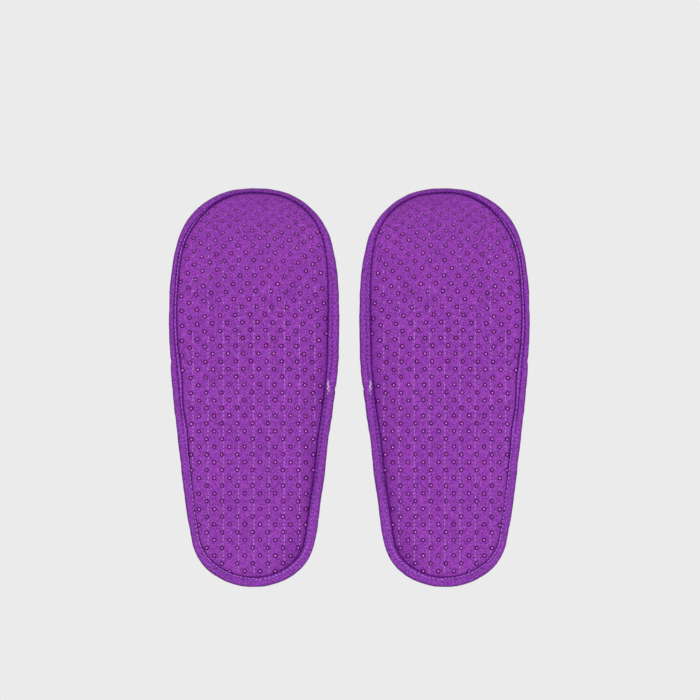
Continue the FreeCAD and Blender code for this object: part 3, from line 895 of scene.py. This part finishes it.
def edge_binding():
    """The folded tape, pinched and swollen a little along its length except where it is sewn down."""
    ring = BINDING_RING
    inset, height = binding_section(ring)
    # The noise is read round a circle, so that it meets itself where the ring closes.
    loops = ring.travel / (2 * HALF_PERIMETER) * 2 * math.pi
    turn_x = np.cos(loops) * 110
    turn_y = np.sin(loops) * 110
    swell = lumps(turn_x, turn_y, BINDING_SWELL)
    body = bell(height - BINDING_TOP / 2, 6.0)
    pinch = ring.edge[:, None] * edge_reach(inset)
    moved = inset + pinch + swell[:, None] * body * np.clip(1 - inset / 4, 0, 1)
    ripple = fuzz(turn_x[:, None] + moved * 2.2, turn_y[:, None] + height * 2.2, 3.0, 2.5)
    face = np.clip(1 - np.abs(inset - 2.5) / 2.5, 0, 1)
    height = height + 0.07 * ripple * face
    x = ring.points[:, :1] - ring.normals[:, :1] * moved
    y = ring.points[:, 1:] - ring.normals[:, 1:] * moved
    points = np.stack([x, y, np.maximum(lift(y, height), 0.0)], -1)
    faces = wrap_faces(*points.shape[:2], closed_columns=True).tolist()
    return points.reshape(-1, 3), faces, binding_tone(ring, inset, height)


# ---------------------------------------------------------------- stitches and dots

STITCH_PROFILE = ((0.0, -1.0), (0.55, -0.88), (0.9, -0.5), (1.0, 0.0), (0.9, 0.5), (0.55, 0.88),
                  (0.0, 1.0))
STITCH, STITCH_FACES = spun(STITCH_PROFILE, 8)


def stitch_frame(spot, along, out, length, radius, lean=0.0):
    """Frame of one stitch: its long axis follows along, turned by lean in the cloth's plane."""
    along = unit(along)
    out = unit(out - along * (out @ along))
    side = np.cross(out, along)
    turned = along * math.cos(lean) + side * math.sin(lean)
    side = np.cross(out, turned)
    return spot, side * radius, out * radius * 0.8, turned * length / 2


def curl_normal(y):
    """Downward unit vector square to the sole's lower face at y."""
    slope = max(CURL_Y - y, 0.0) / (CURL_RADIUS - OUTSOLE_BOTTOM)
    return np.array([0.0, -slope, -math.sqrt(1 - slope**2)])


def sole_spot(x, y, height):
    return np.array([x, y, float(lift(np.array(y), height))])


def quilt_stitches():
    """Three stitches show between each two dots on a line; the fourth passes under the dot."""
    frames = []
    tones = []
    for line in range(-QUILT_LINES_EACH_SIDE, QUILT_LINES_EACH_SIDE + 1):
        fresh = rng.uniform(0.75, 1.0)
        for step in range(-110, 62):  # a few more than fit on the sole
            if step % 4 == 0:
                continue
            y = plan_y(CURL_Y - FIRST_LINE_ROW_Y + step * QUILT_PITCH)
            if not TOE_Y + 4 < y < HEEL_Y - 4:
                continue
            x = line * DOT_PITCH_X + rng.uniform(-0.22, 0.22)
            if abs(x) > half_width(y, DOT_CLEARANCE):
                continue
            inset, lip = from_edge(x, y)
            if inset < lip + 1.8:
                continue
            if rng.random() > by_distance(y - TOE_Y, QUILT_SHOWN):
                continue
            out = curl_normal(y)
            along = np.array([0.0, -out[2], out[1]])
            height = OUTSOLE_BOTTOM + float(quilt_sink(np.array(x), np.array(y))) + 0.02
            length = QUILT_STITCH_LENGTH * rng.uniform(0.85, 1.1)
            frames.append(stitch_frame(sole_spot(x, y, height), along, out, length,
                                       QUILT_STITCH_RADIUS, rng.uniform(-0.18, 0.18)))
            tones.append(fresh * rng.uniform(0.8, 1.0))
    points, faces = repeat(STITCH, STITCH_FACES, frames)
    return points, faces, np.repeat(tones, len(STITCH))


def seam_frames(insets, heights, radius, out_sign):
    """Stitches round the whole binding, one per pitch; out_sign is -1 on its upper side."""
    ring = BINDING_RING
    frames = []
    tones = []
    for index in range(int(2 * HALF_PERIMETER / STITCH_PITCH)):
        travel = (index + 0.5) * STITCH_PITCH
        sample = int(round(travel / (2 * HALF_PERIMETER) * len(ring.travel))) % len(ring.travel)
        hidden_until = 40.0 if ring.inner[sample] else 12.0
        if out_sign > 0 and ring.distance[sample] < hidden_until:
            continue  # there the seam is tucked into the crease
        normal = ring.normals[sample]
        height = heights[sample]
        plan = ring.points[sample] - normal * insets[sample]
        ahead = plan + np.array([-normal[1], normal[0]])
        spot = sole_spot(plan[0], plan[1], height)
        along = sole_spot(ahead[0], ahead[1], height) - spot
        out = curl_normal(plan[1]) * out_sign
        length = STITCH_LENGTH * rng.uniform(0.9, 1.08)
        frames.append(stitch_frame(spot, along, out, length, radius, rng.uniform(-0.12, 0.12)))
        # Painted shade: stitches in the crease on the inner side and near the toe are painted darker;
        # the heel's are lightest.
        bright = 0.2 if ring.inner[sample] else 0.9
        shown = ((0, 0.2), (30, bright), (200, bright), (245, 1.0))
        tones.append(float(by_distance(ring.distance[sample], shown)))
    return frames, tones


def binding_stitches():
    """The seams in the tape's lower flange and, above the sole, in its upper one."""
    ring = BINDING_RING
    # On the outer side the stitches ride on the ridge between the sewn groove and the folded lip.
    ridge = np.where(ring.inner, 0.0, 0.5) * ease(ring.distance, 5.0, 30.0)
    row = ring.seam + (ring.lip - ring.seam) * ridge
    sunk = np.maximum(0.14 + SEAM_SINK * ring.seam_depth * 0.9 * (1 - 1.8 * ridge), 0.28)
    lower, tones = seam_frames(row, sunk, 0.34, 1.0)
    everywhere = np.ones(len(ring.travel))
    upper, _ = seam_frames(UPPER_SEAM_INSET * everywhere, (BINDING_TOP - 0.26) * everywhere, 0.26, -1.0)
    points, faces = repeat(STITCH, STITCH_FACES, lower + upper)
    return points, faces, np.repeat(tones + [1.0] * len(upper), len(STITCH))


DOME_PROFILE = ((0.0, 1.0), (0.28, 0.965), (0.52, 0.86), (0.73, 0.68), (0.88, 0.44), (0.97, 0.18),
                (1.06, 0.02), (1.10, -0.2), (0.0, -0.2))
DOME, DOME_FACES = spun(DOME_PROFILE, 14)


def grip_dots():
    """Moulded drops, a little uneven, wearing lower at the very toe, each with a painted highlight on
    its crown.
    """
    frames = []
    shade = []
    for x, y in DOTS:
        distance = y - TOE_Y
        size = float(np.interp(distance, (6, 14, 34), (0.55, 0.72, 1.0)))
        radius = DOT_RADIUS * size * rng.uniform(0.93, 1.06)
        inset, lip = from_edge(x, y)
        local = float(sole_height(np.array(x), np.array(y), inset, lip, x > 0))
        base = local + 0.10
        crown = DOT_CROWN + 0.25 * (1 - size) + rng.uniform(-0.02, 0.10)
        out = curl_normal(y)
        side = np.array([1.0, 0.0, 0.0])
        up = np.cross(out, side)
        tilt = np.array([rng.uniform(-0.06, 0.06), rng.uniform(-0.06, 0.06), 0.0])
        axis = unit(out + tilt) * max(base - crown, 0.35)
        x_spot = x + rng.uniform(-0.15, 0.15)
        y_spot = y + rng.uniform(-0.15, 0.15)
        frames.append((sole_spot(x_spot, y_spot, base), side * radius, up * radius, axis))
        # Painted highlight on each crown, of random strength; near the toe the faint print lifts the
        # whole dot a little and weakens the highlight.
        wear_and_highlight = rng.uniform(0.45, 1.0)
        faint = 0.06 * (1 - np.interp(distance, PRINT_FADE, (0.0, 1.0)))
        shade.extend(np.maximum(wear_and_highlight * (1 - 2 * faint) * ease(DOME[:, 2], 0.90, 0.99), faint))
    faces = [face[::-1] for face in DOME_FACES]
    points, faces = repeat(DOME, faces, frames)
    return points, faces, shade


def loose_thread_end():
    """A pale tuft where the binding's two ends meet on the inner side, and one fine stray thread."""
    place = Ring(2000)
    half = len(place.travel) // 2

    def spot(distance, inset, height):
        index = int(np.argmin(np.abs(place.distance[:half] - distance)))
        plan = place.points[index] - place.normals[index] * inset
        return (plan[0], plan[1], height)

    # radius, then each route by distance from the toe, inset and height
    threads = (
        (0.34, ((135.0, 6.9, 0.55), (136.6, 5.4, 0.34), (138.2, 6.3, 0.33), (139.8, 4.6, 0.33),
                (141.6, 5.9, 0.34), (143.4, 4.5, 0.36), (145.6, 5.6, 0.5))),
        (0.28, ((136.2, 6.6, 0.5), (137.8, 5.3, 0.30), (139.6, 5.6, 0.30), (141.4, 4.5, 0.32),
                (142.8, 3.6, 0.42))),
        (0.13, ((127.6, 1.6, 0.30), (129.5, 2.5, 0.24), (131.3, 3.4, 0.24), (133.2, 4.4, 0.32))),
    )
    points = []
    faces = []
    for radius, route in threads:
        made, made_faces = tube(smooth_path([spot(*step) for step in route], 5), radius)
        offset = sum(len(part) for part in points)
        points.append(made)
        faces.extend([[corner + offset for corner in face] for face in made_faces])
    return np.concatenate(points), faces


# ---------------------------------------------------------------- upper

def sole_top(y):
    return lift(y, BINDING_TOP)


def throat_y(x):
    """The upper's rear edge in plan: a round arc through three points."""
    (x1, y1), (x2, y2), (x3, y3) = THROAT_POINTS
    matrix = np.array([(x2 - x1, y2 - y1), (x3 - x2, y3 - y2)])
    sums = np.array([
        (x2**2 - x1**2 + y2**2 - y1**2) / 2,
        (x3**2 - x2**2 + y3**2 - y2**2) / 2,
    ])
    centre = np.linalg.solve(matrix, sums)
    radius = math.hypot(x1 - centre[0], y1 - centre[1])
    below = np.sqrt(np.maximum(radius**2 - (x - centre[0]) ** 2, 0.0))
    return centre[1] - below if centre[1] > y2 else centre[1] + below


def upper_point(angle, y, depth):
    """Points of the upper's surface that lies depth below its outer face; angle 0 is the +X side."""
    width = half_width(y, VAMP_INSET + depth)
    start = TOE_Y + VAMP_INSET + depth
    foot = sole_top(np.array(start))
    share = np.clip((y - start) / CROWN_LENGTH, 0, 1)
    crown = foot + (CROWN_HEIGHT - depth - foot) * np.sqrt(1 - (1 - share) ** CROWN_EXPONENT)
    base = sole_top(y) - VAMP_SKIRT
    rise = crown - base
    across = np.sign(np.cos(angle)) * np.abs(np.cos(angle)) ** ARCH_POWER
    up = np.abs(np.sin(angle)) ** ARCH_POWER
    return np.stack([width * across, y, base + rise * up], -1), rise


def throat_end(angle, depth):
    """y at which each of the upper's lines from nose to throat ends, found by closing in on it."""
    end = np.full(len(angle), THROAT_POINTS[1][1])
    for _ in range(12):
        ending, _ = upper_point(angle, end, depth)
        end = throat_y(ending[:, 0])
    return end


def angles_above(spread, rise, sunk):
    """Angles from side to side (spread 0 to 1) that start and end sunk above the upper's base."""
    first = np.arcsin(np.clip((sunk / rise) ** (1 / ARCH_POWER), 0, 1))
    return first + (math.pi - 2 * first) * spread


def upper_grid(depth):
    """Grid of points from side to side (rows) and from the nose to the throat (columns)."""
    start = TOE_Y + VAMP_INSET + depth
    spread = np.linspace(0, 1, UPPER_ROWS)
    end = throat_end(math.pi * spread, depth)
    share = np.linspace(0.004, 1, UPPER_COLUMNS) ** 1.8
    y = start + (end - start)[:, None] * share[None, :]
    _, rise = upper_point(np.zeros_like(y), y, depth)
    points, _ = upper_point(angles_above(spread[:, None], rise, VAMP_SKIRT - 0.6), y, depth)
    return points


def grid_normals(grid):
    across = np.gradient(grid, axis=0)
    along = np.gradient(grid, axis=1)
    normal = np.cross(along, across)
    size = np.linalg.norm(normal, axis=-1, keepdims=True)
    return normal / np.maximum(size, 1e-9)


CLOTH_SETTINGS = {
    "quality": 6, "mass": 0.15, "tension_stiffness": 8, "compression_stiffness": 8,
    "shear_stiffness": 4, "bending_stiffness": 0.05, "use_pressure": True,
    "uniform_pressure_force": 4, "shrink_min": -0.035, "vertex_group_mass": "held",
}


def simulated_swell(grid):
    """How the padded upper, sewn down at its edges, swells and wrinkles, by cloth simulation."""
    scene = bpy.context.scene
    rows, columns = grid.shape[:2]
    mesh = bpy.data.meshes.new("upper_trial")
    faces = open_faces(rows, columns)[:, ::-1].tolist()
    mesh.from_pydata((grid.reshape(-1, 3) * MM).tolist(), [], faces)
    trial = bpy.data.objects.new("upper_trial", mesh)
    scene.collection.objects.link(trial)
    held = trial.vertex_groups.new(name="held")
    for row in range(rows):
        for column in range(columns):
            edge = min(row, rows - 1 - row)
            if edge < 2 or column < 3 or column > columns - 6:
                held.add([row * columns + column], 1.0, "REPLACE")
    cloth = trial.modifiers.new("Cloth", "CLOTH")
    for key, value in CLOTH_SETTINGS.items():
        setattr(cloth.settings, key, value)
    cloth.settings.effector_weights.gravity = 0
    for number in range(1, 21):
        scene.frame_set(number)
    done = trial.evaluated_get(bpy.context.evaluated_depsgraph_get()).to_mesh()
    moved = np.zeros(rows * columns * 3, np.float32)
    done.vertices.foreach_get("co", moved)
    moved = moved.reshape(rows, columns, 3) / MM - grid
    size = np.linalg.norm(moved, axis=-1, keepdims=True)
    moved *= np.minimum(1.0, MOST_SWELL / np.maximum(size, 1e-9))
    bpy.data.objects.remove(trial)
    scene.frame_set(1)
    return moved


def upper_swell(grid):
    """Movement of the upper's points from its smooth shape: gathers at its hem, lumps and wrinkles."""
    rows, columns = grid.shape[:2]
    row = np.arange(rows)[:, None] / (rows - 1)
    column = np.arange(columns)[None, :] / (columns - 1)
    from_hem = np.minimum(row, 1 - row)
    hem = np.exp(-from_hem / 0.07)
    gathers = 0.35 * hem * np.sin(column * 2 * math.pi * 15 + 2 * np.sin(column * 21))
    x, y, z = np.moveaxis(grid, -1, 0)
    uneven = 0.7 * fuzz(x, y, 26.0, 3.2) + 0.3 * fuzz(y, z, 9.0, 7.7)
    free = ease(column, 0.02, 0.15) * (1 - ease(column, 0.86, 0.97)) * ease(from_hem, 0.0, 0.05)
    shift = grid_normals(grid) * ((gathers + uneven) * free)[..., None]
    shift = shift + simulated_swell(grid)
    return shift


# The throat tape's section as (setback from the edge, depth): outer face, fold, inner face, back
THROAT_SECTION = (
    (7.0, -0.15), (6.9, -0.6), (6.2, -0.85), (THROAT_SEAM_SETBACK, -0.55), (4.6, -0.95), (3.2, -1.0),
    (1.6, -0.95), (0.2, -0.7), (-0.6, 0.1), (-0.95, 1.2), (-1.0, 2.2), (-0.85, 3.2), (-0.4, 4.3),
    (0.4, 4.9), (1.6, 5.1), (3.2, 5.15), (4.6, 5.05), (THROAT_SEAM_SETBACK, 4.85), (6.2, 5.05),
    (7.0, 4.6), (6.6, 4.32), (4.0, 4.3), (1.2, 4.28), (0.25, 3.6), (0.15, 2.2), (0.25, 0.8),
    (1.2, -0.08), (4.0, -0.1),
)
THROAT_ROWS = 150


def throat_tape():
    """Tape folded over the throat's edge, and the angles and ends of its rows; its hems are wavy."""
    spread = np.linspace(0, 1, THROAT_ROWS)
    end = throat_end(math.pi * spread, 0.0)
    _, rise = upper_point(np.zeros(THROAT_ROWS), end, 0.0)
    angle = angles_above(spread, rise, VAMP_SKIRT + 0.1)
    wave = 0.12 * np.sin(np.arange(THROAT_ROWS) * 2 * math.pi * 3.0 / 7.0)
    loops = [upper_point(angle, end + wave * (setback > 5.9) - setback, depth)[0]
             for setback, depth in THROAT_SECTION]
    grid = np.stack(loops, axis=1)
    return grid.reshape(-1, 3), capped_tube(*grid.shape[:2]), angle, end


def throat_stitches(angle, end):
    """Topstitches along the tape's outer face."""
    spots, _ = upper_point(angle, end - THROAT_SEAM_SETBACK, -0.75)
    higher, _ = upper_point(angle, end - THROAT_SEAM_SETBACK, -1.75)
    run = np.concatenate([[0], np.cumsum(np.linalg.norm(np.diff(spots, axis=0), axis=1))])

    def along_row(travel, values):
        return np.array([np.interp(travel, run, values[:, axis]) for axis in range(3)])

    frames = []
    for index in range(int(run[-1] / STITCH_PITCH)):
        travel = (index + 0.5) * STITCH_PITCH
        along = along_row(travel + 0.6, spots) - along_row(travel - 0.6, spots)
        out = along_row(travel, higher - spots)
        lean = rng.uniform(-0.1, 0.1)
        frames.append(stitch_frame(along_row(travel, spots), along, out, STITCH_LENGTH, 0.28, lean))
    return repeat(STITCH, STITCH_FACES, frames)


def add_subdivision(made):
    modifier = made.modifiers.new("Subdivision", "SUBSURF")
    modifier.levels = 1
    modifier.render_levels = 1


# ---------------------------------------------------------------- the pair

def build():
    """Every piece's points, faces and, for some, shades, drawn once for the right slipper."""
    shapes = {}
    shapes["outsole"] = outsole()
    shapes["midsole_foam"] = layer(OUTSOLE_TOP, FOAM_TOP, 1.5, 0.0)
    shapes["insole_padding"] = layer(FOAM_TOP, PADDING_TOP, 1.6, 0.05)
    shapes["insole_cover"] = insole_cover()
    shapes["edge_binding"] = edge_binding()
    shapes["binding_stitches"] = binding_stitches()
    shapes["grip_dots"] = grip_dots()
    shapes["quilt_stitches"] = quilt_stitches()
    shapes["loose_thread_end"] = loose_thread_end()
    layers = {"upper_fabric": FABRIC_DEPTHS, "upper_wadding": WADDING_DEPTHS,
              "upper_lining": LINING_DEPTHS}
    grids = {depth: upper_grid(depth) for depths in layers.values() for depth in depths}
    shift = upper_swell(grids[FABRIC_DEPTHS[0]])
    for name, (outer, inner) in layers.items():
        shapes[name] = shell(grids[outer] + shift, grids[inner] + shift)
    tape, tape_faces, angle, end = throat_tape()
    shapes["throat_binding"] = (tape, tape_faces)
    shapes["throat_stitches"] = throat_stitches(angle, end)
    return shapes


# name, material, record slot, CAD node it stands for (front and heel if it bends), whether it bends
PARTS = (
    ("outsole", sole_felt, "sole_fabric", "outsole", True),
    ("midsole_foam", sole_foam, "sole_foam", "midsole_foam", True),
    ("insole_padding", white_wadding, "wadding", "insole_padding", True),
    ("insole_cover", insole_terry, "insole_fabric", "insole_cover", True),
    ("edge_binding", binding_cloth, "binding_tape", "edge_binding", True),
    ("binding_stitches", seam_thread, "thread", "binding_thread", True),
    ("grip_dots", grip_plastic, "grip_rubber", "grip_dots", True),
    ("quilt_stitches", quilt_thread, "thread", "quilt_thread", True),
    ("loose_thread_end", loose_thread, "thread", "thread_tail", False),
    ("upper_fabric", upper_velour, "upper_fabric", "vamp_fabric", False),
    ("upper_wadding", white_wadding, "wadding", "vamp_wadding", False),
    ("upper_lining", lining_knit, "lining_fabric", "vamp_lining", False),
    ("throat_binding", binding_cloth, "binding_tape", "throat_tape", False),
    ("throat_stitches", seam_thread, "thread", "throat_thread", False),
)
PLATES = ("outsole", "midsole_foam", "insole_padding", "insole_cover")  # their spine's points coincide
SUBDIVIDED = ("upper_fabric", "upper_lining")
# The lights under the floor must not bounce off these pieces and colour the floor beside them.
UNDERSIDE = ("outsole", "grip_dots", "quilt_stitches")

shapes = build()
for side in ("right", "left"):
    for name, material, slot, stands_for, bends in PARTS:
        nodes = [stands_for + "_front", stands_for + "_heel"] if bends else [stands_for]
        points, faces, *shade = shapes[name]
        merge = 0.01 if name in PLATES else 0.0
        item = piece(side, name, points, faces, material, shade[0] if shade else None, merge)
        if name in SUBDIVIDED:
            add_subdivision(item)
        if bends:
            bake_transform(item)
        else:
            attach(item, side + "_front")
        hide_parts(*[side + "_" + node for node in nodes])
        item.visible_diffuse = name not in UNDERSIDE


# ---------------------------------------------------------------- stage, lights and camera

def mix_shaders(nodes, links, share, first, second, output):
    """Wires an output to a mix of two shaders."""
    mix = nodes.new("ShaderNodeMixShader")
    for socket, source in zip(mix.inputs, (share, first, second)):
        links.new(source, socket)
    links.new(mix.outputs[0], nodes[output].inputs[0])


def one_sided_floor():
    """A pale floor that shows from above only, because the camera looks up at the soles through it."""
    mesh = bpy.data.meshes.new("floor")
    reach = 8.0
    drop = -0.0006
    mesh.from_pydata([(-reach, -reach, drop), (reach, -reach, drop), (reach, reach, drop),
                      (-reach, reach, drop)], [], [(0, 1, 2, 3)])
    look = Look("floor")
    look.set(Base_Color=rgba(0.80, 0.80, 0.80), Roughness=1.0, Specular_IOR_Level=0.0)
    below = look.add("ShaderNodeNewGeometry").outputs["Backfacing"]
    clear = look.add("ShaderNodeBsdfTransparent").outputs[0]
    mix_shaders(look.tree.nodes, look.tree.links, below, look.shader.outputs[0], clear,
                "Material Output")
    mesh.materials.append(look.material)
    floor = bpy.data.objects.new("floor", mesh)
    bpy.context.scene.collection.objects.link(floor)
    floor.visible_shadow = False
    floor.visible_diffuse = False
    floor.visible_glossy = False


def lamp(name, kind, direction, **settings):
    """A light that shines along a direction."""
    data = bpy.data.lights.new(name, kind)
    for key, value in settings.items():
        setattr(data, key, value)
    made = bpy.data.objects.new(name, data)
    made.rotation_mode = "QUATERNION"
    made.rotation_quaternion = Vector(direction).to_track_quat("-Z", "Y")
    bpy.context.scene.collection.objects.link(made)
    return made


def disk_light(name, place, target, size, power):
    made = lamp(name, "AREA", Vector(target) - Vector(place), shape="DISK", size=size, energy=power)
    made.location = place
    made.visible_camera = False


def world_light(seen, lighting):
    """An even grey that is one brightness to the camera and another as light."""
    world = bpy.data.worlds.new("studio")
    bpy.context.scene.world = world
    world.use_nodes = True
    nodes = world.node_tree.nodes
    background = nodes["Background"]
    background.inputs["Color"].default_value = rgba(lighting, lighting, lighting)
    backdrop = nodes.new("ShaderNodeBackground")
    backdrop.inputs["Color"].default_value = rgba(seen, seen, seen)
    straight = nodes.new("ShaderNodeLightPath").outputs["Is Camera Ray"]
    mix_shaders(nodes, world.node_tree.links, straight, background.outputs[0], backdrop.outputs[0],
                "World Output")


def camera():
    """Square under the soles, as the photo was taken, with the toes at the top of the picture."""
    data = bpy.data.cameras.new("camera")
    data.lens = 200
    data.sensor_width = 36
    data.clip_end = 50
    made = bpy.data.objects.new("camera", data)
    made.location = (0.0005, -0.0261, -2.729)
    made.rotation_euler = (math.pi, 0, 0)
    bpy.context.scene.collection.objects.link(made)
    bpy.context.scene.camera = made


one_sided_floor()
camera()
world_light(0.831, 0.20)
# Metres and watts: name, place, what it points at, diameter, power
disk_light("below_key", (0.0, 0.30, -1.6), (0, 0, 0), 0.9, 13.5)
disk_light("below_dots", (0.04, -0.08, -1.2), (0, 0, 0), 0.45, 4)
disk_light("below_right", (0.85, 0.10, -0.45), (0, 0, 0), 0.5, 1.4)
disk_light("below_left", (-0.85, 0.10, -0.45), (0, 0, 0), 0.5, 1.4)
disk_light("below_toe", (0.0, -1.0, -0.08), (0, -0.12, 0.01), 0.5, 2.6)
lamp("above_key", "SUN", (0.5, 0.6, -1.2), angle=math.radians(45), energy=2.3)
lamp("above_fill", "SUN", (-0.8, -0.5, -1.0), angle=math.radians(80), energy=0.9)
bpy.context.scene.view_settings.view_transform = "Standard"
